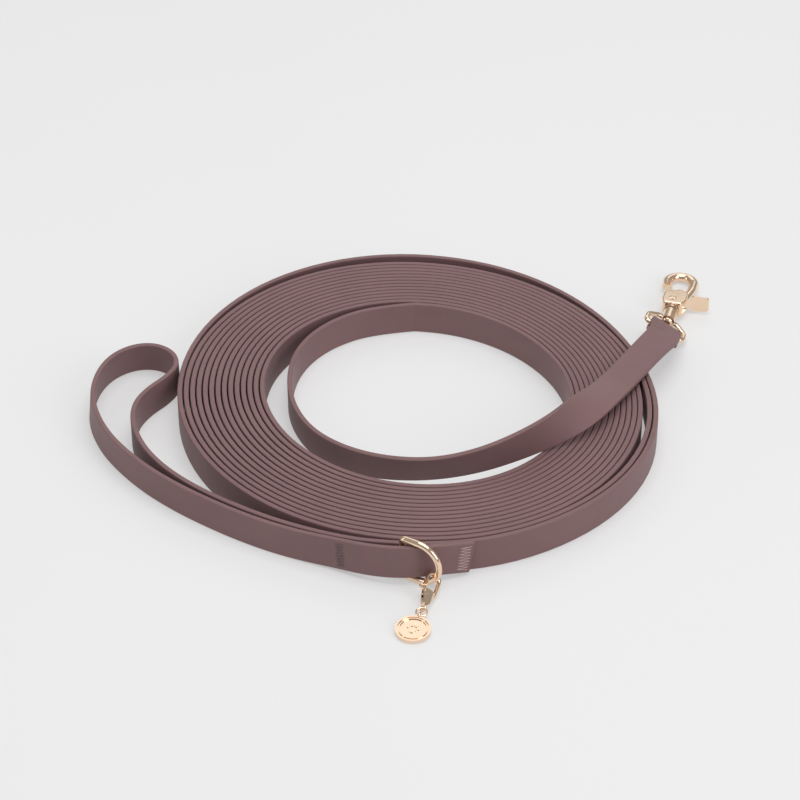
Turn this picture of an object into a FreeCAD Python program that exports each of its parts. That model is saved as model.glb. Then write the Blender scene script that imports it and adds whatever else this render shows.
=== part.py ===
import FreeCAD, Part
import math
import os

# Flat training leash, laid down as a spiral coil standing on edge, with a hand loop, a D-ring
# with a small charm, and a swivel trigger hook. Millimetres, +Z up, floor at z = 0.
# The routes and places below are measured from the coil's centre. ORIGIN moves everything so
# that the frame's origin is the middle of the whole leash's footprint.

V = FreeCAD.Vector
ORIGIN = V(4.1, 22.4, 0.0)

# ---- strap ----
STRAP_WIDTH = 16.0
STRAP_THICK = 2.3
HALF_WIDTH = STRAP_WIDTH / 2
HALF_THICK = STRAP_THICK / 2

# ---- coil: radius of the strap's middle = BASE(angle) - PITCH(angle) * turns wound so far ----
COIL_TURNS = 14.5
COIL_START = -90.0                                       # degrees, at the front
COIL_BASE = (110.8, -1.4, -1.6, 0.0, -2.8)               # constant, cos, sin, cos 2a, sin 2a
COIL_PITCH = (2.78, -0.18, -0.08)                        # constant, cos, sin
TURN_LIFTS = (                                           # stand-off, middle angle, half span
    (4.6, 88.0, 44.0),                                   # first turn, at the back
    (2.2, -17.0, 22.0),                                  # first turn, at the right
    (1.9, 343.0, 22.0),                                  # second turn, at the right
)
OUTLINE_STEPS = 48

# ---- routes of the strap where it isn't coiled: x, y, z of its middle and its lean ----
# Lean is in degrees from upright: at 90 the face that was outside faces up.
LEAD_ROUTE = [
    (-0.3, 70.05, 8.0, 0), (-20.0, 67.2, 8.0, 0), (-37.5, 58.0, 8.0, 0), (-50.5, 44.0, 8.0, 0),
    (-58.0, 26.0, 8.0, 0), (-59.4, 5.0, 8.1, 0), (-55.8, -14.0, 8.1, -3), (-46.5, -32.0, 8.3, -5),
    (-31.0, -45.5, 9.2, -8), (-12.5, -54.0, 11.2, -16), (8.0, -58.4, 14.1, -20),
    (28.5, -57.2, 18.0, -14), (48.0, -51.5, 22.8, -3), (64.0, -43.0, 26.3, 14),
    (75.3, -32.0, 27.0, 52), (85.3, -14.6, 22.4, 82), (95.2, 3.0, 19.2, 88),
    (104.9, 20.3, 18.1, 90), (113.6, 36.0, 16.1, 87), (119.6, 48.0, 12.8, 74),
    (121.5, 58.3, 10.4, 62),
]
HANDLE_ROUTE = [
    (-0.1, -112.4, 8.0, 0), (-19.0, -111.0, 8.0, 0), (-35.3, -106.9, 8.0, 0),
    (-51.2, -101.0, 8.0, 0), (-65.3, -94.3, 8.0, 0), (-78.7, -86.5, 8.0, 0),
    (-92.0, -77.6, 8.0, 0), (-105.0, -66.8, 8.0, 0), (-115.4, -55.6, 8.0, 0),
    (-124.2, -42.0, 8.0, 0), (-129.8, -26.0, 8.0, 0), (-130.3, -11.5, 8.0, 0),
    (-125.2, 0.2, 8.0, 0), (-116.4, 10.5, 8.0, 0), (-111.9, 20.5, 8.0, 0),
    (-114.6, 30.6, 8.1, 4), (-123.4, 37.0, 8.2, 7), (-134.6, 36.2, 8.2, 9),
    (-144.9, 27.6, 8.2, 9), (-150.6, 12.6, 8.2, 8), (-151.0, -6.0, 8.1, 5),
    (-145.2, -24.4, 8.1, 2), (-136.4, -39.8, 8.0, 0), (-123.0, -56.3, 8.0, 0),
    (-108.4, -69.7, 8.0, 0), (-93.6, -80.8, 8.0, 0), (-80.0, -89.8, 8.0, 0),
    (-66.3, -97.6, 8.0, 0), (-52.0, -104.2, 8.2, 0), (-36.4, -110.6, 9.2, 0),
    (-20.6, -117.8, 10.8, 3), (-5.4, -121.0, 11.9, 3), (9.8, -118.1, 11.4, 1),
    (23.4, -113.2, 9.0, 0),
]
HANDLE_SPLITS = (13, 22)                                 # route points where the nodes meet
END_CUTS = 0.45                                          # share of a run that an arc may use

# ---- hook end ----
EYE_WIRE = 1.3                                           # wire radius of the swivel eye
TAIL_LENGTH = 11.5
TAIL_STEPS = (0.0, 0.06, 0.12, 0.2, 0.28, 0.36, 0.45, 0.55, 0.7, 0.85, 1.0)
TAIL_SETTLED = 0.6                                       # share of the tail where it meets the lead
TACK_PITCH = 1.05
HOOK_TURN = 8.0                                          # hook raised about the strap's bar
EYE_WIDTH = 23.0
EYE_FRONT = 10.6                                         # from the strap's bar to the far bar
BARREL_RADIUS = 3.4
BARREL_LENGTH = 7.4
POST_RADIUS = 1.6
RUNNING_GAP = 0.05
HOOK_BODY_THICK = 8.0
SLOT_THICK = 4.4
GATE_THICK = 3.8
GATE_PIN_RADIUS = 1.2
BOW_RADIUS = 6.7
BOW_WIRE = 2.3

# ---- D-ring and charm ----
RING_BAR = V(-6.3, -116.3, 0)
RING_WIRE = 1.5
RING_HEADING = -30.0
RING_DEPTH = 18.0
RING_LOW = 1.55                                          # height of the lower arm's middle
RING_HIGH = 21.6
RING_CORNER = 1.7
RING_MIDDLE = (RING_LOW + RING_HIGH) / 2
RING_ARC = (RING_HIGH - RING_LOW) / 2
RING_ARC_OUT = RING_DEPTH - RING_ARC                     # from the bar to the arc's middle
CLASP_HEADING = -106.0
CLASP_SLOPE = -8.0
MEDAL_RADIUS = 7.7
MEDAL_THICK = 1.7


def unit(vector):
    return V(vector).normalize()


def frame_at(origin, across, along):
    """Placement whose X axis is across, Y axis is along and Z axis is their normal."""
    y_axis = unit(along)
    z_axis = unit(across.cross(along))
    x_axis = y_axis.cross(z_axis)
    matrix = FreeCAD.Matrix(
        x_axis.x, y_axis.x, z_axis.x, origin.x,
        x_axis.y, y_axis.y, z_axis.y, origin.y,
        x_axis.z, y_axis.z, z_axis.z, origin.z,
        0, 0, 0, 1)
    return FreeCAD.Placement(matrix)


def placed(shape, placement):
    copy = shape.copy()
    copy.Placement = placement.multiply(copy.Placement)
    return copy


def heading(degrees, slope=0.0):
    flat = math.cos(math.radians(slope))
    angle = math.radians(degrees)
    return V(flat * math.cos(angle), flat * math.sin(angle), math.sin(math.radians(slope)))


# ---- strap along a route ----

def rounded_path(points):
    """Straight runs joined by tangent arcs; returns (point, tangent, share of route) samples."""
    places = [V(*p[:3]) for p in points]
    samples = [(places[0], unit(places[1] - places[0]), 0.0)]
    radii = []
    for i in range(1, len(places) - 1):
        before = places[i] - places[i - 1]
        after = places[i + 1] - places[i]
        turn = before.getAngle(after)
        cut = END_CUTS * min(before.Length, after.Length)
        radius = cut / math.tan(turn / 2)
        radii.append(radius)
        into, out = unit(before), unit(after)
        start = places[i] - into * cut
        bend_axis = unit(into.cross(out))
        to_centre = bend_axis.cross(into)
        centre = start + to_centre * radius
        steps = max(2, int(math.degrees(turn) / 6) + 1)
        for k in range(steps + 1):
            angle = turn * k / steps
            spin = FreeCAD.Rotation(bend_axis, math.degrees(angle))
            point = centre + spin.multVec(start - centre)
            samples.append((point, spin.multVec(into), i + END_CUTS * (2 * k / steps - 1)))
    samples.append((places[-1], unit(places[-1] - places[-2]), float(len(places) - 1)))
    return samples, radii


def lean_at(points, share):
    low = min(int(share), len(points) - 2)
    part = share - low
    return points[low][3] * (1 - part) + points[low + 1][3] * part


def strap_axes(tangent, lean):
    """Width direction and outward face direction of the strap at a lean."""
    up = unit(V(0, 0, 1) - tangent * tangent.z)
    left = up.cross(tangent)
    angle = math.radians(lean)
    wide = up * math.cos(angle) + left * math.sin(angle)
    outward = up * math.sin(angle) - left * math.cos(angle)
    return wide, outward


def corners(point, wide, outward, thick=STRAP_THICK):
    w, n = wide * HALF_WIDTH, outward * (thick / 2)
    return [point + w + n, point - w + n, point - w - n, point + w - n]


def flat_face(*points):
    return Part.Face(Part.makePolygon(list(points) + [points[0]]))


def ribbon(rings):
    """Closed solid through rings of four corners, its sides split into flat triangles."""
    faces = [flat_face(*rings[0]), flat_face(*rings[-1])]
    for a, b in zip(rings, rings[1:]):
        for k in range(4):
            m = (k + 1) % 4
            faces.append(flat_face(a[k], a[m], b[m]))
            faces.append(flat_face(a[k], b[m], b[k]))
    shell = Part.makeShell(faces)
    shell.sewShape()
    solid = Part.makeSolid(shell)
    if solid.Volume < 0:
        solid.reverse()
    return solid


def strap_nodes(route, splits, name):
    samples, radii = rounded_path(route)
    print(name, "radii", " ".join("%.0f" % r for r in radii))
    length = sum((b[0] - a[0]).Length for a, b in zip(samples, samples[1:]))
    rings = [corners(point, *strap_axes(tangent, lean_at(route, share)))
             for point, tangent, share in samples]
    ends = [min(range(len(samples)), key=lambda k: abs(samples[k][2] - s)) for s in splits]
    ends = [0] + ends + [len(samples) - 1]
    solids = [ribbon(rings[a:b + 1]) for a, b in zip(ends, ends[1:])]
    volume = sum(s.Volume for s in solids)
    print(name, "length %.1f" % length, "volume / section x length %.4f"
          % (volume / (length * STRAP_WIDTH * STRAP_THICK)))
    return solids


# ---- coil ----

def coil_radius(turns):
    degrees = COIL_START + 360 * turns
    a = math.radians(degrees)
    base = (COIL_BASE[0] + COIL_BASE[1] * math.cos(a) + COIL_BASE[2] * math.sin(a)
            + COIL_BASE[3] * math.cos(2 * a) + COIL_BASE[4] * math.sin(2 * a))
    pitch = COIL_PITCH[0] + COIL_PITCH[1] * math.cos(a) + COIL_PITCH[2] * math.sin(a)
    radius = base - pitch * turns
    for height, middle, half_span in TURN_LIFTS:
        if abs(degrees - middle) < 2 * half_span:
            radius += height * math.cos(math.radians(45) * (degrees - middle) / half_span) ** 2
    return radius


def spiral_edge(first_turn, side):
    """Curve of one full turn along the inner (-1) or outer (+1) face of the strap."""
    points = []
    for k in range(OUTLINE_STEPS + 1):
        turns = first_turn + k / OUTLINE_STEPS
        a = math.radians(COIL_START + 360 * turns)
        radius = coil_radius(turns) + side * HALF_THICK
        points.append(V(radius * math.cos(a), radius * math.sin(a), 0))
    curve = Part.BSplineCurve()
    curve.interpolate(points)
    return Part.Wire([curve.toShape(), Part.makeLine(points[-1], points[0])])


def strap_coil():
    outer = Part.Face(spiral_edge(0.0, 1)).extrude(V(0, 0, STRAP_WIDTH))
    inner = Part.Face(spiral_edge(COIL_TURNS - 1, -1)).extrude(V(0, 0, STRAP_WIDTH))
    return outer.cut(inner)


# ---- hook end of the strap ----

def lead_end():
    """Middle, heading, width direction and upper face direction at the end of the lead."""
    place = V(*LEAD_ROUTE[-1][:3])
    tangent = unit(place - V(*LEAD_ROUTE[-2][:3]))
    wide, outward = strap_axes(tangent, LEAD_ROUTE[-1][3])
    return place, tangent, wide, outward


def eye_bar():
    place, tangent, wide, outward = lead_end()
    return place - outward * (HALF_THICK + EYE_WIRE + RUNNING_GAP)


def strap_fold():
    place, tangent, wide, outward = lead_end()
    local = frame_at(eye_bar(), tangent, outward)
    inside = EYE_WIRE + RUNNING_GAP
    ring = Part.makeCylinder(inside + STRAP_THICK, STRAP_WIDTH, V(0, 0, -HALF_WIDTH))
    ring = ring.cut(Part.makeCylinder(inside, STRAP_WIDTH, V(0, 0, -HALF_WIDTH)))
    half = Part.makeBox(10, 20, STRAP_WIDTH, V(0, -10, -HALF_WIDTH))
    return placed(ring.common(half), local)


def route_back(route, distance):
    """Point, tangent and share of the route at a distance before its end."""
    samples, radii = rounded_path(route)
    samples.reverse()
    for near, far in zip(samples, samples[1:]):
        step = (far[0] - near[0]).Length
        if distance <= step:
            part = distance / step
            tangent = unit(near[1] * (1 - part) + far[1] * part)
            return (near[0] + (far[0] - near[0]) * part, tangent,
                    near[2] + (far[2] - near[2]) * part)
        distance -= step


def strap_tail():
    """Turned-back end under the lead: from the fold back to its cut end."""
    full_gap = 2 * (HALF_THICK + EYE_WIRE + RUNNING_GAP)
    close_gap = STRAP_THICK + 0.12
    rings = []
    for step in TAIL_STEPS:
        point, tangent, share = route_back(LEAD_ROUTE, step * TAIL_LENGTH)
        wide, outward = strap_axes(tangent, lean_at(LEAD_ROUTE, share))
        settle = min(1.0, max(0.0, (TAIL_SETTLED - step) / (TAIL_SETTLED - TAIL_STEPS[1])))
        gap = close_gap + (full_gap - close_gap) * settle ** 2 * (3 - 2 * settle)
        rings.append(corners(point - outward * gap, wide, outward))
    return ribbon(rings)


# ---- stitches ----

def route_place(route, share):
    """Point and tangent at a share of the route, between the two nearest samples."""
    samples, radii = rounded_path(route)
    after = next(k for k in range(1, len(samples)) if samples[k][2] >= share)
    low, high = samples[after - 1], samples[after]
    part = (share - low[2]) / (high[2] - low[2])
    return low[0] + (high[0] - low[0]) * part, unit(high[0] - low[0])


def bar_tack(route, share, span, pitch, proud=0.3, thread=0.42, depth=STRAP_THICK):
    """Zigzag of thread sewn through two layers: a row of short stitches across the strap."""
    point, tangent = route_place(route, share)
    wide, outward = strap_axes(tangent, lean_at(route, share))
    local = frame_at(point, tangent, wide)
    stitches = []
    count = int((STRAP_WIDTH - 3.0) / pitch)
    for k in range(count):
        y = (k - (count - 1) / 2) * pitch
        cap = Part.makeBox(span, thread * 1.5, thread, V(-span / 2, y - thread * 0.75, 0))
        front = cap.copy()
        front.translate(V(0, 0, HALF_THICK + proud - thread))
        leg_long = HALF_THICK + depth
        leg = Part.makeCylinder(thread / 2, leg_long, V(span / 2 - thread, y, -depth))
        stitches.append(front.fuse(leg))
    return placed(Part.makeCompound(stitches), local)


# ---- round wire along a path ----

def wire_path(points, bends, closed=False):
    """Path of straight runs with an arc of the given bend radius at each inner point."""
    places = [V(*p) for p in points]
    count = len(places)
    inner = range(count) if closed else range(1, count - 1)
    cuts = {}
    for i in inner:
        before = unit(places[i] - places[i - 1])
        after = unit(places[(i + 1) % count] - places[i])
        radius = bends[i] if isinstance(bends, (list, tuple)) else bends
        cut = radius * math.tan(before.getAngle(after) / 2)
        start, end = places[i] - before * cut, places[i] + after * cut
        bend_axis = unit(before.cross(after))
        centre = start + bend_axis.cross(before) * radius
        middle = centre + unit(places[i] - centre) * radius
        cuts[i] = (start, middle, end)
    edges = []
    spans = range(count) if closed else range(count - 1)
    for i in spans:
        j = (i + 1) % count
        a = cuts[i][2] if i in cuts else places[i]
        b = cuts[j][0] if j in cuts else places[j]
        if (b - a).Length > 0.01:
            edges.append(Part.makeLine(a, b))
        if j in cuts:
            edges.append(Part.Arc(*cuts[j]).toShape())
    return Part.Wire(edges)


def rod(path, radius):
    first = path.Edges[0]
    start = first.valueAt(first.FirstParameter)
    tangent = first.tangentAt(first.FirstParameter)
    section = Part.Wire(Part.makeCircle(radius, start, tangent))
    return path.makePipeShell([section], True, False)


def cylinder(radius, length, base, axis):
    return Part.makeCylinder(radius, length, V(*base), V(*axis))


def rounded_plate(outline, thick, bends, z=None):
    """Plate of an outline with rounded corners, centred on z = 0 unless z is given."""
    path = wire_path([(x, y, 0) for x, y in outline], bends, closed=True)
    plate = Part.Face(path).extrude(V(0, 0, thick))
    plate.translate(V(0, 0, -thick / 2 if z is None else z))
    return plate


# ---- swivel hook, local frames ----
# Hook frame: X to the right, Y along the hook, Z up through its thickness; Y = 0 is the eye bar.

EYE_BAR_AXIS = lead_end()[2] * -1                        # along the bar, towards the right
HOOK_AXIS = FreeCAD.Rotation(EYE_BAR_AXIS, HOOK_TURN).multVec(lead_end()[1])


def hook_frame():
    return frame_at(eye_bar(), HOOK_AXIS.cross(V(0, 0, 1)), HOOK_AXIS)


def eye_frame():
    return frame_at(eye_bar(), EYE_BAR_AXIS, HOOK_AXIS)


BARREL_START = EYE_FRONT + EYE_WIRE * 0.6
COLLAR_START = BARREL_START + BARREL_LENGTH + 0.15


def swivel_eye():
    half = EYE_WIDTH / 2 - EYE_WIRE
    loop = [(-half, 0, 0), (half, 0, 0), (half, 6.5, 0), (5.2, EYE_FRONT, 0),
            (-5.2, EYE_FRONT, 0), (-half, 6.5, 0)]
    ring = rod(wire_path(loop, (2.2, 2.2, 3.0, 3.5, 3.5, 3.0), closed=True), EYE_WIRE)
    barrel = cylinder(BARREL_RADIUS, BARREL_LENGTH, (0, BARREL_START, 0), (0, 1, 0))
    saddle = cylinder(BARREL_RADIUS, EYE_WIRE * 1.6, (0, EYE_FRONT - EYE_WIRE, 0), (0, 1, 0))
    eye = ring.fuse(barrel).fuse(saddle).removeSplitter()
    bore = cylinder(POST_RADIUS + RUNNING_GAP, 30, (0, EYE_FRONT - 5, 0), (0, 1, 0))
    return placed(eye.cut(bore), eye_frame())


def swivel_post():
    head_top = EYE_FRONT - EYE_WIRE - 0.1
    head = cylinder(2.7, 1.0, (0, head_top - 1.0, 0), (0, 1, 0))
    dome = Part.makeSphere(3.4, V(0, head_top + 1.2, 0))
    cap = cylinder(2.7, 1.3, (0, head_top - 2.3, 0), (0, 1, 0)).common(dome)
    shank = cylinder(POST_RADIUS, COLLAR_START + 3.4 - head_top, (0, head_top, 0), (0, 1, 0))
    return placed(head.fuse(cap).fuse(shank).removeSplitter(), hook_frame())


GATE_PIN = (-0.5, COLLAR_START + 8.0)
GATE_TIP = (-5.4, COLLAR_START + 24.4)
BOW_CENTRE = (0.0, COLLAR_START + 30.8)
GATE_BORE = GATE_PIN_RADIUS + RUNNING_GAP


def bow_path():
    cx, cy = BOW_CENTRE
    r = BOW_RADIUS
    foot = V(4.6, COLLAR_START + 13.5, 0)
    shoulder = V(cx + r, cy - 5.5, 0)
    top_right = V(cx + r, cy, 0)
    top = V(cx, cy + r, 0)
    top_left = V(cx - r, cy, 0)
    tip = V(GATE_TIP[0] - 0.6, GATE_TIP[1] + 0.9, 0)
    tilt = unit(shoulder - foot)
    rise = Part.BezierCurve()
    rise.setPoles([foot, foot + tilt * 3.0, shoulder - V(0, 2.2, 0), shoulder])
    edges = [rise.toShape(), Part.makeLine(shoulder, top_right),
             Part.Arc(top_right, top, top_left).toShape(), Part.makeLine(top_left, tip)]
    return Part.Wire(edges)


def hook_body():
    collar = cylinder(3.9, 1.1, (0, COLLAR_START, 0), (0, 1, 0))
    groove = cylinder(3.3, 0.8, (0, COLLAR_START + 1.1, 0), (0, 1, 0))
    neck = cylinder(3.9, 1.6, (0, COLLAR_START + 1.9, 0), (0, 1, 0))
    base = COLLAR_START + 3.2
    outline = [(-4.6, base), (4.6, base), (6.2, base + 4.5), (6.2, base + 12.2),
               (2.0, base + 15.2), (-5.6, base + 11.0), (-5.6, base + 4.5)]
    block = rounded_plate(outline, HOOK_BODY_THICK, (1.5, 1.5, 2.0, 2.0, 2.5, 2.0, 2.0))
    rim = [edge for edge in block.Edges if abs(edge.tangentAt(edge.FirstParameter).z) < 0.01]
    block = block.makeFillet(0.9, rim)
    bow = rod(bow_path(), BOW_WIRE)
    slot_left = Part.makeBox(9.6, 20, SLOT_THICK, V(-7.2, base + 1.3, -SLOT_THICK / 2))
    slot_right = Part.makeBox(9.0, 8.0, SLOT_THICK, V(0, base + 1.3, -SLOT_THICK / 2))
    body = block.cut(slot_left).cut(slot_right)
    keep = bow.cut(Part.makeBox(5.0, 9, SLOT_THICK, V(-2.6, base + 1.3, -SLOT_THICK / 2)))
    body = body.fuse(keep).fuse(collar).fuse(groove).fuse(neck).removeSplitter()
    pin_hole = cylinder(GATE_PIN_RADIUS, 12, (*GATE_PIN, -6), (0, 0, 1))
    post_hole = cylinder(POST_RADIUS, 4.2, (0, COLLAR_START - 0.5, 0), (0, 1, 0))
    gate_room = swept_gate_room()
    return placed(body.cut(pin_hole).cut(post_hole).cut(gate_room), hook_frame())


GATE_OPENING = 24.0


def gate_blank(grow=0.0, thick=GATE_THICK):
    """Tongue, hub and thumb lever arm, in the hook frame."""
    px, py = GATE_PIN
    tx, ty = GATE_TIP
    along = unit(V(tx - px, ty - py, 0))
    side = V(-along.y, along.x, 0)
    half = 1.7 + grow
    start, end = V(px, py, 0), V(tx, ty, 0) + along * grow
    tongue = [start + side * half, start - side * half, end - side * half, end + side * half]
    plate = Part.Face(Part.makePolygon(tongue + tongue[:1])).extrude(V(0, 0, thick))
    plate.translate(V(0, 0, -thick / 2))
    hub = cylinder(2.7 + grow, thick, (px, py, -thick / 2), (0, 0, 1))
    arm = [(px, py - 1.2 - grow), (8.4, py + 3.0 - grow), (8.4, py + 5.2 + grow),
           (px, py + 2.0 + grow)]
    arm_plate = Part.Face(Part.makePolygon([V(x, y, -thick / 2) for x, y in arm + arm[:1]]))
    return plate.fuse(hub).fuse(arm_plate.extrude(V(0, 0, thick)))


def swept_gate_room():
    """Room that the gate needs inside the body from closed to open."""
    room = None
    for step in range(5):
        blank = gate_blank(grow=0.25, thick=SLOT_THICK)
        blank.rotate(V(*GATE_PIN, 0), V(0, 0, 1), -GATE_OPENING * step / 4)
        room = blank if room is None else room.fuse(blank)
    return room


def trigger_gate():
    px, py = GATE_PIN
    thumb = rounded_plate([(0, -4.1), (8.8, -3.4), (8.8, 3.4), (0, 4.1)], 1.4, 1.2)
    thumb = placed(thumb, frame_at(V(8.2, py + 4.1, 0), V(1, 0.08, 0), V(0, 0, 1)))
    gate = gate_blank().fuse(thumb).removeSplitter()
    bore = cylinder(GATE_BORE, 12, (px, py, -6), (0, 0, 1))
    pocket = cylinder(2.45, 3, (px, py, GATE_THICK / 2 - 1.2), (0, 0, 1))
    return placed(gate.cut(bore).cut(pocket), hook_frame())


def gate_pin():
    px, py = GATE_PIN
    span = HOOK_BODY_THICK
    pin = cylinder(GATE_PIN_RADIUS, span, (px, py, -span / 2), (0, 0, 1))
    for side in (-1, 1):
        head = cylinder(2.0, 0.45, (px, py, side * span / 2), (0, 0, side))
        dome = Part.makeSphere(4.6, V(px, py, side * (span / 2 - 4.1)))
        pin = pin.fuse(head.common(dome))
    return placed(pin.removeSplitter(), hook_frame())


def gate_spring():
    px, py = GATE_PIN
    rings = []
    for k in range(2):
        z = GATE_THICK / 2 - 0.95 + 0.46 * k
        rings.append(Part.makeTorus(1.8, 0.22, V(px, py, z)))
    return placed(Part.makeCompound(rings), hook_frame())


# ---- D-ring and charm ----

RING_OUT = heading(RING_HEADING)
UP = V(0, 0, 1)


def ring_point(out, up):
    return RING_BAR + RING_OUT * out + UP * up


def d_ring():
    """Straight bar between the straps, two arms, and a round front."""
    low, high = RING_LOW, RING_HIGH
    corner = RING_CORNER
    slant = corner * (1 - math.sqrt(0.5))
    edges = [
        Part.makeLine(ring_point(0, low + corner), ring_point(0, high - corner)),
        Part.Arc(ring_point(0, high - corner), ring_point(slant, high - slant),
                 ring_point(corner, high)).toShape(),
        Part.makeLine(ring_point(corner, high), ring_point(RING_ARC_OUT, high)),
        Part.Arc(ring_point(RING_ARC_OUT, high), ring_point(RING_DEPTH, RING_MIDDLE),
                 ring_point(RING_ARC_OUT, low)).toShape(),
        Part.makeLine(ring_point(RING_ARC_OUT, low), ring_point(corner, low)),
        Part.Arc(ring_point(corner, low), ring_point(slant, low + slant),
                 ring_point(0, low + corner)).toShape(),
    ]
    return rod(Part.Wire(edges), RING_WIRE)


RING_ON = 42.0                                           # degrees below the middle of the arc
RING_WIRE_AT = ring_point(
    RING_ARC_OUT + RING_ARC * math.cos(math.radians(RING_ON)),
    RING_MIDDLE - RING_ARC * math.sin(math.radians(RING_ON)))
CLASP_OUT = heading(CLASP_HEADING, CLASP_SLOPE)          # from the bow down to the clasp's tail
WIRE_AXIS = RING_OUT * math.sin(math.radians(RING_ON)) + UP * math.cos(math.radians(RING_ON))
CLASP_NORMAL = unit(WIRE_AXIS - CLASP_OUT * WIRE_AXIS.dot(CLASP_OUT))
CLASP_AT = RING_WIRE_AT + CLASP_OUT * 0.35               # middle of the bow's round end


def clasp_frame():
    """X across the clasp, Y from bow to tail, Z along the ring's wire inside the bow."""
    return frame_at(CLASP_AT, CLASP_OUT.cross(CLASP_NORMAL), CLASP_OUT)


CLASP_BOW = 3.05                                         # radius of the bow's middle line
CLASP_WIRE = 0.95
CLASP_BACK_BENDS = 4.2                                   # where the straight back bends inwards
CLASP_DOME = 5.9                                         # radius of the body's rounded faces
CLASP_PIN = (1.5, 9.6)
CLASP_TAIL = 16.4
TAIL_RING = 1.75
TAIL_WIRE = 0.5


def clasp_body():
    """Lobster claw: its curved back runs into a slim domed body slotted for the trigger."""
    r = CLASP_BOW
    path = Part.Wire([
        Part.makeLine(V(r, 1.9, 0), V(r, 0, 0)),
        Part.Arc(V(r, 0, 0), V(0, -r, 0), V(-r, 0, 0)).toShape(),
        Part.makeLine(V(-r, 0, 0), V(-r, CLASP_BACK_BENDS, 0)),
        Part.Arc(V(-r, CLASP_BACK_BENDS, 0), V(-2.58, 8.014, 0), V(-1.2, 11.6, 0)).toShape(),
    ])
    bow = rod(path, CLASP_WIRE)
    outline = [(-2.9, 6.6), (2.75, 6.6), (2.7, 9.9), (0.9, 14.7), (-0.9, 14.7), (-2.35, 11.2)]
    block = rounded_plate(outline, 3.0, (0.7, 0.9, 2.2, 0.7, 0.7, 2.2))
    for side in (-1, 1):
        dome = cylinder(CLASP_DOME, 12, (0, 5, side * (1.5 - CLASP_DOME)), (0, 1, 0))
        block = block.common(dome)
    slot = Part.makeBox(7.0, 5.6, 1.3, V(-1.6, 6.0, -0.65))
    tail = Part.makeTorus(TAIL_RING, TAIL_WIRE, V(0, CLASP_TAIL, 0), V(1, 0, 0))
    body = block.cut(slot).fuse(bow).fuse(tail).removeSplitter()
    return placed(body.cut(cylinder(0.5, 6, (*CLASP_PIN, -3), (0, 0, 1))), clasp_frame())


def clasp_trigger():
    """Small sprung arm from the pin up to the bow's tip, with a thumb nib at the side."""
    px, py = CLASP_PIN
    outline = [(px - 1.0, py + 0.7), (px - 0.6, py - 1.6), (2.3, py - 3.4), (2.35, 2.25),
               (3.75, 2.25), (3.8, 5.4), (5.3, 6.4), (5.1, 7.6), (3.3, 7.4), (px + 1.1, py + 0.7)]
    bends = (0.5, 0.6, 0.6, 0.3, 0.4, 0.6, 0.4, 0.4, 0.5, 0.5)
    arm = rounded_plate(outline, 1.1, bends)
    return placed(arm.cut(cylinder(0.53, 4, (px, py, -2), (0, 0, 1))), clasp_frame())


def clasp_pin():
    return placed(cylinder(0.5, 2.7, (*CLASP_PIN, -1.35), (0, 0, 1)), clasp_frame())


def clasp_spring():
    leaf = Part.makeBox(0.25, 2.4, 0.8, V(-0.7, 7.8, -0.4))
    return placed(leaf, clasp_frame())


LINK_RADIUS = 2.3
LINK_WIRE = 0.45
BAIL_RING = 1.25
BAIL_WIRE = 0.5
MEDAL_SLOPE = -3.1
LINK_FROM = clasp_frame().multVec(V(0, CLASP_TAIL, 0))
MEDAL_OUT = heading(CLASP_HEADING - 4, MEDAL_SLOPE)
BAIL_HEIGHT = BAIL_RING + BAIL_WIRE + 0.1
LINK_DROP = math.degrees(math.asin((LINK_FROM.z - BAIL_HEIGHT) / (2 * LINK_RADIUS)))
LINK_OUT = heading(CLASP_HEADING - 2, -LINK_DROP)
LINK_MIDDLE = LINK_FROM + LINK_OUT * LINK_RADIUS
BAIL_MIDDLE = LINK_MIDDLE + LINK_OUT * LINK_RADIUS
LINK_ACROSS = unit(LINK_OUT.cross(UP))


def jump_ring():
    return Part.makeTorus(LINK_RADIUS, LINK_WIRE, LINK_MIDDLE, LINK_ACROSS.cross(LINK_OUT))


def medal_frame():
    """Origin at the bail's middle, Y towards the medal's far edge, Z up through it."""
    return frame_at(BAIL_MIDDLE, MEDAL_OUT.cross(UP), MEDAL_OUT)


MEDAL_MIDDLE = MEDAL_RADIUS + BAIL_RING - 0.35           # from the bail's middle


def medallion():
    """Round medal with a raised double rim, a plain paw relief and a bail for the ring."""
    r, t, y0 = MEDAL_RADIUS, MEDAL_THICK, MEDAL_MIDDLE
    top = t / 2 - 0.45
    disc = cylinder(r, t - 0.45, (0, y0, -t / 2), (0, 0, 1))
    for outer, inner in ((r, r - 0.8), (r - 1.4, r - 1.9)):
        rim = cylinder(outer, 0.45, (0, y0, top), (0, 0, 1))
        disc = disc.fuse(rim.cut(cylinder(inner, 0.45, (0, y0, top), (0, 0, 1))))
    pads = [(0.0, 1.1, 1.55), (-2.4, -0.5, 0.75), (-0.9, -2.0, 0.85), (0.9, -2.0, 0.85),
            (2.4, -0.5, 0.75)]
    for x, y, size in pads:
        disc = disc.fuse(cylinder(size, 0.3, (x, y0 + y, top), (0, 0, 1)))
    bail = Part.makeTorus(BAIL_RING, BAIL_WIRE, V(0, 0, 0), V(1, 0, 0))
    return placed(disc.fuse(bail).removeSplitter(), medal_frame())


# ---- nodes ----

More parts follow.
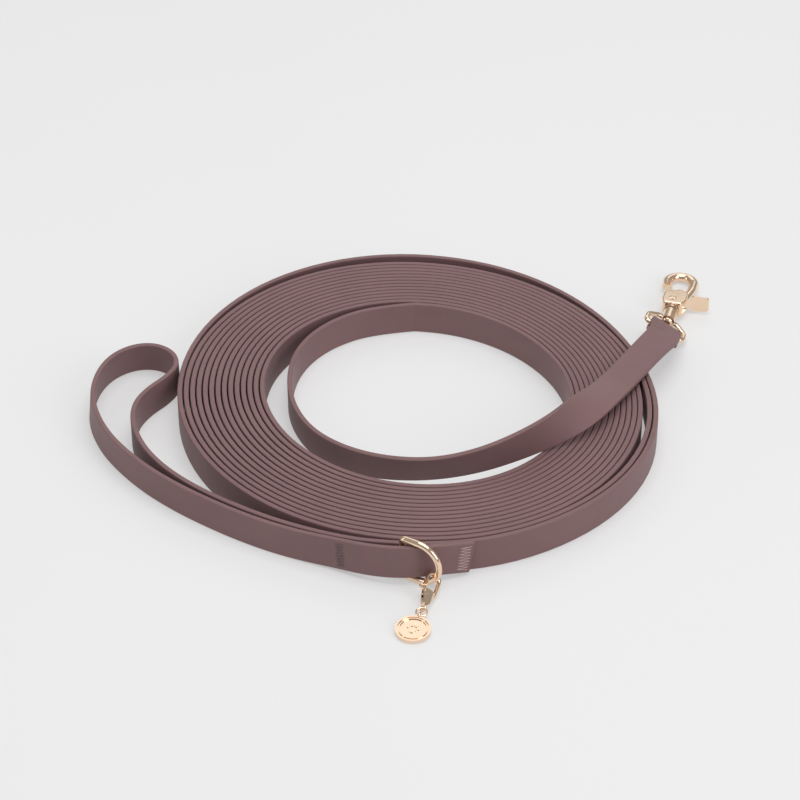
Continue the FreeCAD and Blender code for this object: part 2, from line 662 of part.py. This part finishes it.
def all_nodes():
    nodes = {}
    nodes["strap_coil"] = strap_coil()
    nodes["strap_lead"] = strap_nodes(LEAD_ROUTE, (), "lead")[0]
    inner, bight, outer = strap_nodes(HANDLE_ROUTE, HANDLE_SPLITS, "handle")
    nodes["handle_inner_strand"] = inner
    nodes["handle_bight"] = bight
    nodes["handle_outer_strand"] = outer
    nodes["strap_fold"] = strap_fold()
    nodes["strap_tail"] = strap_tail()
    last = len(HANDLE_ROUTE) - 1
    nodes["bar_tack_end"] = bar_tack(HANDLE_ROUTE, last - 0.21, 5.6, TACK_PITCH)
    nodes["bar_tack_left"] = bar_tack(HANDLE_ROUTE, last - 3.81, 4.2, TACK_PITCH)
    lead_last = len(LEAD_ROUTE) - 1
    nodes["bar_tack_hook"] = bar_tack(LEAD_ROUTE, lead_last - 0.66, 3.4, TACK_PITCH, depth=3.5)
    nodes["swivel_eye"] = swivel_eye()
    nodes["swivel_post"] = swivel_post()
    nodes["hook_body"] = hook_body()
    nodes["trigger_gate"] = trigger_gate()
    nodes["gate_pin"] = gate_pin()
    nodes["gate_spring"] = gate_spring()
    nodes["d_ring"] = d_ring()
    nodes["clasp_body"] = clasp_body()
    nodes["clasp_trigger"] = clasp_trigger()
    nodes["clasp_pin"] = clasp_pin()
    nodes["clasp_spring"] = clasp_spring()
    nodes["jump_ring"] = jump_ring()
    nodes["medallion"] = medallion()
    return nodes


NODES = all_nodes()
os.makedirs("parts", exist_ok=True)
box = FreeCAD.BoundBox()
for node_name, node_shape in NODES.items():
    node_shape.translate(ORIGIN)
    box.add(node_shape.BoundBox)
    node_shape.exportStep(os.path.join("parts", node_name + ".step"))
    print("%-22s solids %d valid %s volume %.1f" % (
        node_name, len(node_shape.Solids), node_shape.isValid(), node_shape.Volume))
print("box x %.2f %.2f  y %.2f %.2f  z %.2f %.2f" % (
    box.XMin, box.XMax, box.YMin, box.YMax, box.ZMin, box.ZMax))
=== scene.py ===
import math

import bmesh
import bpy
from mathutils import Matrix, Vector


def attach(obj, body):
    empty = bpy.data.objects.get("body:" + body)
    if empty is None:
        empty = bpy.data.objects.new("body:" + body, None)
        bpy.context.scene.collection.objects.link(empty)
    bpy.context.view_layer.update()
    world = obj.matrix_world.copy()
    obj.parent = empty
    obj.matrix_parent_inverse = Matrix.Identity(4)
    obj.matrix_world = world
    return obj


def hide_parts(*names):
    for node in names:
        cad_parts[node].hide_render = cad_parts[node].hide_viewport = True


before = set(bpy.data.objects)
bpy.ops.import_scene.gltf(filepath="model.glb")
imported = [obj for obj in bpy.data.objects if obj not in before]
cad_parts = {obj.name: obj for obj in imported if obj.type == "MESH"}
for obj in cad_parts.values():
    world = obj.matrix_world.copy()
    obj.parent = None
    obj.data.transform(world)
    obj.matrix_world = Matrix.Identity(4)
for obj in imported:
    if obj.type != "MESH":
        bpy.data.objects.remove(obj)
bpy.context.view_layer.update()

# Flat training leash: a coiled strap with a hand loop, a D-ring with a charm and a swivel hook.
# The strap is drawn here as one mesh per stretch, the stitches as threads, and the metal parts
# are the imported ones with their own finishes. Lengths are in metres; the routes are in
# millimetres from the coil's centre, which is COIL_CENTRE in the frame.

MM = 0.001
COIL_CENTRE = Vector((4.1, 22.4, 0.0)) * MM

# ---- strap ----
STRAP_WIDTH = 16.0 * MM
STRAP_THICK = 2.3 * MM
HALF_THICK = STRAP_THICK / 2
EDGE_ROUND = 0.5 * MM
EDGE_STEPS = 4
FACE_SHARES = (0.94, 0.5, 0.0, -0.5, -0.94)    # points across each face of the strap

# ---- coil: radius of the strap's middle = BASE(angle) - PITCH(angle) * turns, in mm ----
COIL_TURNS = 14.5
COIL_START = -90.0                             # degrees, at the front
COIL_BASE = (110.8, -1.4, -1.6, 0.0, -2.8)     # constant, cos, sin, cos 2a, sin 2a
COIL_PITCH = (2.78, -0.18, -0.08)              # constant, cos, sin
TURN_LIFTS = ((4.6, 88.0, 44.0), (2.2, -17.0, 22.0), (1.9, 343.0, 22.0))  # mm, middle, half span
POINTS_PER_TURN = 48
COIL_STEPS = 2
EDGE_WANDER = 0.16 * MM       # how unevenly the turns stand on their edges
WANDER_WAVES = 2.3            # rises and falls in a turn
WANDER_SHIFT = 4.1            # radians from one turn to the next

# ---- routes where the strap isn't coiled: x, y, z of its middle and its lean in degrees ----
LEAD_ROUTE = [
    (-0.3, 70.05, 8.0, 0), (-20.0, 67.2, 8.0, 0), (-37.5, 58.0, 8.0, 0), (-50.5, 44.0, 8.0, 0),
    (-58.0, 26.0, 8.0, 0), (-59.4, 5.0, 8.1, 0), (-55.8, -14.0, 8.1, -3), (-46.5, -32.0, 8.3, -5),
    (-31.0, -45.5, 9.2, -8), (-12.5, -54.0, 11.2, -16), (8.0, -58.4, 14.1, -20),
    (28.5, -57.2, 18.0, -14), (48.0, -51.5, 22.8, -3), (64.0, -43.0, 26.3, 14),
    (75.3, -32.0, 27.0, 52), (85.3, -14.6, 22.4, 82), (95.2, 3.0, 19.2, 88),
    (104.9, 20.3, 18.1, 90), (113.6, 36.0, 16.1, 87), (119.6, 48.0, 12.8, 74),
    (121.5, 58.3, 10.4, 62),
]
HANDLE_ROUTE = [
    (-0.1, -112.4, 8.0, 0), (-19.0, -111.0, 8.0, 0), (-35.3, -106.9, 8.0, 0),
    (-51.2, -101.0, 8.0, 0), (-65.3, -94.3, 8.0, 0), (-78.7, -86.5, 8.0, 0),
    (-92.0, -77.6, 8.0, 0), (-105.0, -66.8, 8.0, 0), (-115.4, -55.6, 8.0, 0),
    (-124.2, -42.0, 8.0, 0), (-129.8, -26.0, 8.0, 0), (-130.3, -11.5, 8.0, 0),
    (-125.2, 0.2, 8.0, 0), (-116.4, 10.5, 8.0, 0), (-111.9, 20.5, 8.0, 0),
    (-114.6, 30.6, 8.1, 4), (-123.4, 37.0, 8.2, 7), (-134.6, 36.2, 8.2, 9),
    (-144.9, 27.6, 8.2, 9), (-150.6, 12.6, 8.2, 8), (-151.0, -6.0, 8.1, 5),
    (-145.2, -24.4, 8.1, 2), (-136.4, -39.8, 8.0, 0), (-123.0, -56.3, 8.0, 0),
    (-108.4, -69.7, 8.0, 0), (-93.6, -80.8, 8.0, 0), (-80.0, -89.8, 8.0, 0),
    (-66.3, -97.6, 8.0, 0), (-52.0, -104.2, 8.2, 0), (-36.4, -110.6, 9.2, 0),
    (-20.6, -117.8, 10.8, 3), (-5.4, -121.0, 11.9, 3), (9.8, -118.1, 11.4, 1),
    (23.4, -113.2, 9.0, 0),
]
ROUTE_STEPS = 12              # points of the smooth line for each point of a route

# ---- turned-back end at the hook ----
BAR_GAP = 2.5 * MM            # from the strap's middle to the middle of the bar it goes round
FOLD_STEPS = 10
TAIL_LENGTH = 11.5 * MM
TAIL_STEPS = 24
TAIL_GAP = 2.42 * MM
TAIL_SETTLES = (0.06, 0.6)    # shares of the tail between which it closes up to the lead

# ---- threads ----
THREAD_RADIUS = 0.25 * MM
THREAD_SIDES = 8
TACK_HEIGHT = 13.0 * MM
TACK_PITCH = 0.8 * MM
TACK_STEPS = 8                # lengths in each stitch
STITCH_DIP = 2.2              # thread radii by which a stitch's ends go into the strap
STITCH_FLATNESS = 9           # power of the stitch's bow
REACH_DRIFT = 0.07            # share by which the stitches' lengths vary
REACH_WAVES = 5.7             # radians from one stitch to the next
# Each row: name, route, mm back from the route's end, stitch length in mm, height of its bow
# in mm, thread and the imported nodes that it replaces.
TACK_ROWS = (
    ("bar_tack_end_stitches", "handle", 3.6, 6.2, 0.18, "bright", ("bar_tack_end",)),
    ("bar_tack_left_stitches", "handle", 59.0, 5.2, 0.16, "dull", ("bar_tack_left",)),
    ("bar_tack_hook_stitches", "lead", 7.0, 3.4, 0.08, "matching", ("bar_tack_hook",)),
    ("seam_stitches_1", "handle", 51.0, 6.0, 0.04, "matching", ()),
    ("seam_stitches_2", "handle", 37.5, 3.2, 0.04, "matching", ()),
    ("seam_stitches_3", "handle", 23.4, 2.8, 0.04, "matching", ()),
)

# ---- colours: dark and light end of each finish ----
STRAP_TONES = ((0.192, 0.108, 0.108), (0.228, 0.130, 0.129))
THREAD_TONES = {
    "bright": ((0.26, 0.15, 0.15), (0.62, 0.42, 0.41)),
    "dull": ((0.070, 0.038, 0.044), (0.15, 0.086, 0.095)),
    "matching": ((0.13, 0.075, 0.078), (0.20, 0.118, 0.12)),
}
ROSE_GOLD_TONES = ((0.88, 0.67, 0.49), (0.94, 0.72, 0.535))
ROSE_GOLD_ROUGHNESS = (0.08, 0.17)
STEEL_TONES = ((0.42, 0.41, 0.40), (0.58, 0.57, 0.55))
STEEL_ROUGHNESS = (0.22, 0.34)
FLOOR_TONES = ((0.44, 0.44, 0.44), (0.45, 0.45, 0.45))

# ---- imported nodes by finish, and those that hang on the lead's end ----
ROSE_GOLD_NODES = ("swivel_eye", "swivel_post", "hook_body", "trigger_gate", "gate_pin", "d_ring",
                   "clasp_body", "clasp_trigger", "clasp_pin", "jump_ring", "medallion")
STEEL_NODES = ("gate_spring", "clasp_spring")

# ---- floor ----
FLOOR_HALF = 6.0
FLOOR_SQUARES = 8
FLOOR_DROP = 0.2 * MM         # keeps the floor just under the strap's lower edge
# painted light: the floor glows to lift the shadows on it and to light the strap from below
FLOOR_PAINTED_GLOW = 0.38
COVERED_RADIUS = 90.5 * MM    # middle of the ring under the coil, where the floor has no glow
COVERED_HALF = 10.0 * MM
COVERED_FADE = 14.5 * MM

# ---- camera ----
AIM = COIL_CENTRE + Vector((-7.38, 12.81, 0.0)) * MM
CAMERA_RISE = math.radians(36.5)
CAMERA_DISTANCE = 1.300
LENS = 123.98
SENSOR = 36.0
CLIP_END = 20.0

# ---- lights: name, place, size, watts and colour; all of them aim at the frame's origin ----
WORLD_STRENGTH = 0.36
WHITE = (1.0, 1.0, 1.0)
LIGHTS = (
    ("top_softbox", (0.1, -0.05, 1.6), (1.2, 1.2), 13.4, WHITE),
    ("back_softbox", (0.0, 1.7, 1.35), (2.4, 1.3), 8.0, WHITE),
    ("right_softbox", (1.15, -0.95, 0.9), (0.9, 1.1), 8.8, (0.97, 0.95, 1.0)),
    ("left_strip", (-1.5, -0.3, 0.7), (0.35, 1.2), 2.4, WHITE),
)


# ---- lines and frames ----

def smooth_line(rows, steps):
    """Points along the smooth spline that has these rows as its control points."""
    curve = bpy.data.curves.new("line", "CURVE")
    curve.dimensions = "3D"
    spline = curve.splines.new("NURBS")
    spline.points.add(len(rows) - 1)
    for point, row in zip(spline.points, rows):
        point.co = (*row, 1.0)
    spline.order_u = 3
    spline.use_endpoint_u = True
    spline.resolution_u = steps
    holder = bpy.data.objects.new("line", curve)
    mesh = bpy.data.meshes.new_from_object(holder)
    points = [vertex.co.copy() for vertex in mesh.vertices]
    bpy.data.meshes.remove(mesh)
    bpy.data.objects.remove(holder)
    bpy.data.curves.remove(curve)
    return points


def in_frame(route):
    return [COIL_CENTRE + Vector(row[:3]) * MM for row in route]


def strap_axes(tangent, lean):
    """Width direction and outward face direction of the strap at a lean in degrees."""
    up = (Vector((0, 0, 1)) - tangent * tangent.z).normalized()
    left = up.cross(tangent)
    angle = math.radians(lean)
    wide = up * math.cos(angle) + left * math.sin(angle)
    outward = up * math.sin(angle) - left * math.cos(angle)
    return wide, outward


def tangents(points):
    count = len(points)
    return [(points[min(k + 1, count - 1)] - points[max(k - 1, 0)]).normalized()
            for k in range(count)]


def route_stations(route):
    """Stations (place, tangent, width direction, outward direction) along a route."""
    places = smooth_line(in_frame(route), ROUTE_STEPS)
    leans = smooth_line([(row[3], 0.0, 0.0) for row in route], ROUTE_STEPS)
    return [(place, tangent, *strap_axes(tangent, lean.x))
            for place, tangent, lean in zip(places, tangents(places), leans)]


def length_along(places):
    total = [0.0]
    for a, b in zip(places, places[1:]):
        total.append(total[-1] + (b - a).length)
    return total


def station_at(stations, distance):
    """Station at a distance along the stations."""
    lengths = length_along([s[0] for s in stations])
    after = next((k for k, length in enumerate(lengths) if length > distance), len(lengths) - 1)
    after = max(after, 1)
    part = (distance - lengths[after - 1]) / (lengths[after] - lengths[after - 1])
    low, high = stations[after - 1], stations[after]
    return [a.lerp(b, part) for a, b in zip(low, high)]


# ---- strap meshes ----

def strap_section():
    """Outline of the strap's section: (across its width, through its thickness)."""
    half_wide, half_thick = STRAP_WIDTH / 2, STRAP_THICK / 2
    outline = []
    for quarter in range(4):
        side_w = 1 if quarter in (0, 3) else -1
        side_n = 1 if quarter in (0, 1) else -1
        corner_w = side_w * (half_wide - EDGE_ROUND)
        corner_n = side_n * (half_thick - EDGE_ROUND)
        for step in range(EDGE_STEPS + 1):
            angle = math.pi / 2 * (quarter + step / EDGE_STEPS)
            outline.append((corner_w + EDGE_ROUND * math.cos(angle),
                            corner_n + EDGE_ROUND * math.sin(angle)))
        if quarter in (0, 2):
            for share in FACE_SHARES:
                outline.append((corner_w * share, side_n * half_thick))
    return outline


def new_object(name, mesh):
    obj = bpy.data.objects.new(name, mesh)
    bpy.context.scene.collection.objects.link(obj)
    return obj


def strap_object(name, stations):
    """Closed strap through the stations, with its length and width as UV in metres."""
    outline = strap_section()
    count = len(outline)
    lengths = length_along([s[0] for s in stations])
    mesh = bpy.data.meshes.new(name)
    bm = bmesh.new()
    layer = bm.loops.layers.uv.new("strap")
    rings = []
    for place, tangent, wide, outward in stations:
        rings.append([bm.verts.new(place + wide * w + outward * n) for w, n in outline])
    for k in range(len(rings) - 1):
        for m in range(count):
            n = (m + 1) % count
            face = bm.faces.new((rings[k][m], rings[k][n], rings[k + 1][n], rings[k + 1][m]))
            face.smooth = True
            corners = ((k, m), (k, n), (k + 1, n), (k + 1, m))
            for loop, (ring, point) in zip(face.loops, corners):
                loop[layer].uv = (lengths[ring], outline[point][0])
    for ring in (list(reversed(rings[0])), rings[-1]):
        bm.faces.new(ring)
        for a, b in zip(ring, ring[1:] + ring[:1]):
            bm.edges.get((a, b)).smooth = False
    bmesh.ops.recalc_face_normals(bm, faces=bm.faces)
    bm.to_mesh(mesh)
    bm.free()
    return new_object(name, mesh)


def coil_radius(turns):
    """Radius of the strap's middle in mm, after this many turns from the outside."""
    degrees = COIL_START + 360 * turns
    a = math.radians(degrees)
    base = (COIL_BASE[0] + COIL_BASE[1] * math.cos(a) + COIL_BASE[2] * math.sin(a)
            + COIL_BASE[3] * math.cos(2 * a) + COIL_BASE[4] * math.sin(2 * a))
    pitch = COIL_PITCH[0] + COIL_PITCH[1] * math.cos(a) + COIL_PITCH[2] * math.sin(a)
    radius = base - pitch * turns
    for height, middle, half_span in TURN_LIFTS:
        if abs(degrees - middle) < 2 * half_span:
            radius += height * math.cos(math.radians(45) * (degrees - middle) / half_span) ** 2
    return radius


def coil_rows():
    """Control points of the coil, from the start of the hand loop to the start of the lead."""
    rows = [in_frame(HANDLE_ROUTE)[0]]
    for k in range(round(COIL_TURNS * POINTS_PER_TURN) + 1):
        turns = k / POINTS_PER_TURN
        a = math.radians(COIL_START + 360 * turns)
        radius = coil_radius(turns) * MM
        ends = min(1.0, turns, COIL_TURNS - turns)
        shift = WANDER_SHIFT * math.floor(turns + 0.5)
        rise = EDGE_WANDER * (1 + math.sin(WANDER_WAVES * a + shift)) * ends
        rows.append(COIL_CENTRE + Vector((radius * math.cos(a), radius * math.sin(a),
                                          STRAP_WIDTH / 2 + rise)))
    rows.append(in_frame(LEAD_ROUTE)[0])
    return rows


def coil_stations():
    places = smooth_line(coil_rows(), COIL_STEPS)
    return [(place, tangent, *strap_axes(tangent, 0.0))
            for place, tangent in zip(places, tangents(places))]


def turned_back_end(lead):
    """Stations of the fold round the bar and of the tail under the lead."""
    place, tangent, wide, outward = lead[-1]
    bar = place - outward * BAR_GAP
    stations = []
    for step in range(1, FOLD_STEPS):
        angle = math.pi * step / FOLD_STEPS
        out = outward * math.cos(angle) + tangent * math.sin(angle)
        along = tangent * math.cos(angle) - outward * math.sin(angle)
        stations.append((bar + out * BAR_GAP, along, wide, out))
    total = length_along([s[0] for s in lead])[-1]
    starts, ends = TAIL_SETTLES
    for step in range(TAIL_STEPS + 1):
        share = step / TAIL_STEPS
        place, tangent, wide, outward = station_at(lead, total - share * TAIL_LENGTH)
        settle = min(1.0, max(0.0, (ends - share) / (ends - starts)))
        gap = TAIL_GAP + (2 * BAR_GAP - TAIL_GAP) * settle ** 2 * (3 - 2 * settle)
        stations.append((place - outward * gap, -tangent, wide, -outward))
    return stations


# ---- threads ----

def thread_mesh(bm, points):
    """Round thread through points, closed at both ends."""
    lines = tangents(points)
    side = lines[0].orthogonal().normalized()
    rings = []
    for point, tangent in zip(points, lines):
        side = (side - tangent * side.dot(tangent)).normalized()
        up = tangent.cross(side)
        rings.append([bm.verts.new(point + (side * math.cos(2 * math.pi * k / THREAD_SIDES)
                                            + up * math.sin(2 * math.pi * k / THREAD_SIDES))
                                   * THREAD_RADIUS) for k in range(THREAD_SIDES)])
    for a, b in zip(rings, rings[1:]):
        for k in range(THREAD_SIDES):
            n = (k + 1) % THREAD_SIDES
            bm.faces.new((a[k], a[n], b[n], b[k])).smooth = True
    bm.faces.new(reversed(rings[0]))
    bm.faces.new(rings[-1])


def bar_tack(name, stations, distance, span, proud):
    """Dense zigzag sewn across the strap, its stitches bowed over the outward face."""
    place, tangent, wide, outward = station_at(stations, distance)
    mesh = bpy.data.meshes.new(name)
    bm = bmesh.new()
    count = int(TACK_HEIGHT / TACK_PITCH)
    for k in range(count):
        points = []
        low = (k - (count - 1) / 2) * TACK_PITCH
        lean = TACK_PITCH * (0.5 if k % 2 else -0.5)
        reach = span / 2 * (1 + REACH_DRIFT * math.sin(REACH_WAVES * k + span / MM))
        for step in range(TACK_STEPS + 1):
            share = 2 * step / TACK_STEPS - 1
            dip = (proud + THREAD_RADIUS * STITCH_DIP) * abs(share) ** STITCH_FLATNESS
            bow = proud - dip
            points.append(place + tangent * (share * reach)
                          + wide * (low + lean * share)
                          + outward * (HALF_THICK - THREAD_RADIUS + bow))
        thread_mesh(bm, points)
    bmesh.ops.recalc_face_normals(bm, faces=bm.faces)
    bm.to_mesh(mesh)
    bm.free()
    return new_object(name, mesh)


# ---- materials ----

class Nodes:
    """Short calls for a material's nodes."""

    def __init__(self, name):
        self.material = bpy.data.materials.new(name)
        self.material.use_nodes = True
        self.tree = self.material.node_tree
        self.shader = self.tree.nodes["Principled BSDF"]
        self.place = self.add("ShaderNodeTexCoord").outputs["Object"]

    def add(self, kind, inputs=None, **settings):
        node = self.tree.nodes.new(kind)
        for name, value in settings.items():
            setattr(node, name, value)
        for name, value in (inputs or {}).items():
            if isinstance(value, bpy.types.NodeSocket):
                self.tree.links.new(value, node.inputs[name])
            else:
                node.inputs[name].default_value = value
        return node

    def noise(self, scale, detail):
        made = self.add("ShaderNodeTexNoise", {"Vector": self.place, "Scale": scale,
                                               "Detail": detail, "Roughness": 0.55})
        return made.outputs["Fac"]

    def ramp(self, factor, stops):
        """Colour ramp between two stops, each a position and a colour."""
        node = self.add("ShaderNodeValToRGB", {"Fac": factor})
        for element, (position, colour) in zip(node.color_ramp.elements, stops):
            element.position = position
            element.color = (*colour, 1)
        return node.outputs["Color"]

    def spread(self, factor, low, high):
        return self.add("ShaderNodeMapRange", {"Value": factor, "To Min": low,
                                               "To Max": high}).outputs["Result"]

    def bump(self, height, distance, strength=1.0, normal=None):
        inputs = {"Height": height, "Distance": distance, "Strength": strength}
        if normal is not None:
            inputs["Normal"] = normal
        return self.add("ShaderNodeBump", inputs).outputs["Normal"]

    def into(self, **links):
        for name, value in links.items():
            socket = self.shader.inputs[name.replace("_", " ")]
            if isinstance(value, bpy.types.NodeSocket):
                self.tree.links.new(value, socket)
            else:
                socket.default_value = value


def strap_material():
    """Matte coated webbing: mauve brown with a fine grain and faint cloudy patches."""
    n = Nodes("coated_strap")
    cloud = n.noise(38.0, 4.0)
    grain = n.noise(2600.0, 2.0)
    tone = n.add("ShaderNodeMix", {"Factor": 0.35, "A": cloud, "B": grain}).outputs["Result"]
    colour = n.ramp(tone, ((0.30, STRAP_TONES[0]), (0.70, STRAP_TONES[1])))
    pores = n.bump(n.noise(4200.0, 2.0), 0.00005, 0.5)
    waves = n.bump(n.noise(240.0, 2.0), 0.00012, 0.3, pores)
    n.into(Base_Color=colour, Roughness=n.spread(grain, 0.50, 0.64), Normal=waves)
    n.into(Specular_IOR_Level=0.30, Sheen_Weight=0.05, Sheen_Roughness=0.5)
    return n.material


def thread_material(name, dark, light):
    """Twisted polyester thread: a fine ply pattern with a soft shine."""
    n = Nodes(name)
    ply = n.add("ShaderNodeTexWave", {"Vector": n.place, "Scale": 1500.0, "Distortion": 1.5,
                                      "Detail": 1.0}, bands_direction="DIAGONAL").outputs["Fac"]
    fibre = n.noise(5200.0, 2.0)
    tone = n.add("ShaderNodeMix", {"Factor": 0.4, "A": ply, "B": fibre}).outputs["Result"]
    n.into(Base_Color=n.ramp(tone, ((0.2, dark), (0.8, light))),
           Roughness=n.spread(fibre, 0.34, 0.5), Normal=n.bump(ply, 0.00005, 0.6))
    n.into(Sheen_Weight=0.35, Sheen_Roughness=0.4)
    return n.material


def metal_material(name, dark, light, smooth, rough):
    """Polished plate: tone and gloss drift slightly, with faint hairlines from handling."""
    n = Nodes(name)
    drift = n.noise(160.0, 3.0)
    hair_place = n.add("ShaderNodeMapping", {"Vector": n.place, "Scale": (1.0, 0.08, 1.0)})
    hairs = n.add("ShaderNodeTexNoise", {"Vector": hair_place.outputs["Vector"],
                                         "Scale": 5200.0, "Detail": 2.0}).outputs["Fac"]
    n.into(Base_Color=n.ramp(drift, ((0.3, dark), (0.7, light))),
           Roughness=n.spread(drift, smooth, rough),
           Normal=n.bump(hairs, 0.000012, 0.18, n.bump(drift, 0.00012, 0.15)))
    n.into(Metallic=1.0)
    return n.material


def backdrop_material():
    """Pale floor with painted light: a soft glow of its own that lifts the shadows on it, except
    in the ring that the coil covers, where the gaps between the turns stay dark.
    """
    n = Nodes("pale_floor")
    tone = n.noise(3.0, 2.0)
    n.into(Base_Color=n.ramp(tone, ((0.3, FLOOR_TONES[0]), (0.7, FLOOR_TONES[1]))))
    n.into(Roughness=0.9, Specular_IOR_Level=0.1, Emission_Color=(1, 1, 1, 1))
    away = n.add("ShaderNodeVectorMath", {0: n.place, 1: COIL_CENTRE},
                 operation="DISTANCE").outputs["Value"]
    offset = n.add("ShaderNodeMath", {0: away, 1: COVERED_RADIUS}, operation="SUBTRACT")
    beside = n.add("ShaderNodeMath", {0: offset.outputs["Value"]}, operation="ABSOLUTE")
    glow = n.add("ShaderNodeMapRange", {"Value": beside.outputs["Value"],
                                        "From Min": COVERED_HALF, "From Max": COVERED_FADE,
                                        "To Min": 0.0, "To Max": FLOOR_PAINTED_GLOW})
    n.into(Emission_Strength=glow.outputs["Result"])
    return n.material


def give(obj, material):
    """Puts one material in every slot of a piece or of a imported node's object."""
    if not obj.material_slots:
        obj.data.materials.append(material)
    for slot in obj.material_slots:
        slot.material = material


# ---- camera, floor and light ----

def make_camera():
    camera = bpy.data.objects.new("camera", bpy.data.cameras.new("camera"))
    camera.data.sensor_width = SENSOR
    camera.data.lens = LENS
    camera.data.clip_end = CLIP_END
    away = Vector((0, -math.cos(CAMERA_RISE), math.sin(CAMERA_RISE)))
    camera.location = AIM + away * CAMERA_DISTANCE
    camera.rotation_euler = (math.pi / 2 - CAMERA_RISE, 0, 0)
    bpy.context.scene.collection.objects.link(camera)
    bpy.context.scene.camera = camera


def make_floor(material):
    bm = bmesh.new()
    bmesh.ops.create_grid(bm, x_segments=FLOOR_SQUARES, y_segments=FLOOR_SQUARES,
                          size=FLOOR_HALF)
    mesh = bpy.data.meshes.new("floor")
    bm.to_mesh(mesh)
    bm.free()
    floor = new_object("floor", mesh)
    floor.location.z = -FLOOR_DROP
    give(floor, material)


def make_light(name, place, size, power, colour):
    lamp = bpy.data.lights.new(name, "AREA")
    lamp.shape = "RECTANGLE"
    lamp.size, lamp.size_y = size
    lamp.energy = power
    lamp.color = colour
    obj = bpy.data.objects.new(name, lamp)
    obj.location = place
    obj.rotation_euler = (-Vector(place)).to_track_quat("-Z", "Y").to_euler()
    bpy.context.scene.collection.objects.link(obj)


def make_lights():
    world = bpy.data.worlds.new("studio")
    world.use_nodes = True
    background = world.node_tree.nodes["Background"]
    background.inputs["Color"].default_value = (*WHITE, 1)
    background.inputs["Strength"].default_value = WORLD_STRENGTH
    bpy.context.scene.world = world
    for light in LIGHTS:
        make_light(*light)


# ---- the pieces ----

def make_strap(material):
    coil_path = coil_stations()
    coil = strap_object("coiled_strap", coil_path)
    give(coil, material)
    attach(coil, "strap")
    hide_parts("strap_coil")

    lead_path = route_stations(LEAD_ROUTE)
    lead = strap_object("lead_strap", lead_path + turned_back_end(lead_path))
    give(lead, material)
    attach(lead, "strap")
    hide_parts("strap_lead", "strap_fold", "strap_tail")

    handle_path = route_stations(HANDLE_ROUTE)
    handle = strap_object("handle_strap", handle_path)
    give(handle, material)
    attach(handle, "strap")
    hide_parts("handle_inner_strand", "handle_bight", "handle_outer_strand")
    return lead_path, handle_path


def make_stitches(lead_path, handle_path):
    threads = {kind: thread_material(kind + "_thread", *tones)
               for kind, tones in THREAD_TONES.items()}
    paths = {"lead": lead_path, "handle": handle_path}
    for name, route, back, span, proud, kind, replaced in TACK_ROWS:
        path = paths[route]
        distance = length_along([s[0] for s in path])[-1] - back * MM
        piece = bar_tack(name, path, distance, span * MM, proud * MM)
        give(piece, threads[kind])
        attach(piece, "strap")
        if replaced:
            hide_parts(*replaced)


def make_finishes():
    rose = metal_material("rose_gold_plate", *ROSE_GOLD_TONES, *ROSE_GOLD_ROUGHNESS)
    steel = metal_material("spring_steel", *STEEL_TONES, *STEEL_ROUGHNESS)
    for name in ROSE_GOLD_NODES:
        give(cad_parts[name], rose)
    for name in STEEL_NODES:
        give(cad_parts[name], steel)


make_camera()
make_floor(backdrop_material())
make_lights()
bpy.context.scene.view_settings.view_transform = "Standard"
strap_finish = strap_material()
lead_stations, handle_stations = make_strap(strap_finish)
make_stitches(lead_stations, handle_stations)
make_finishes()
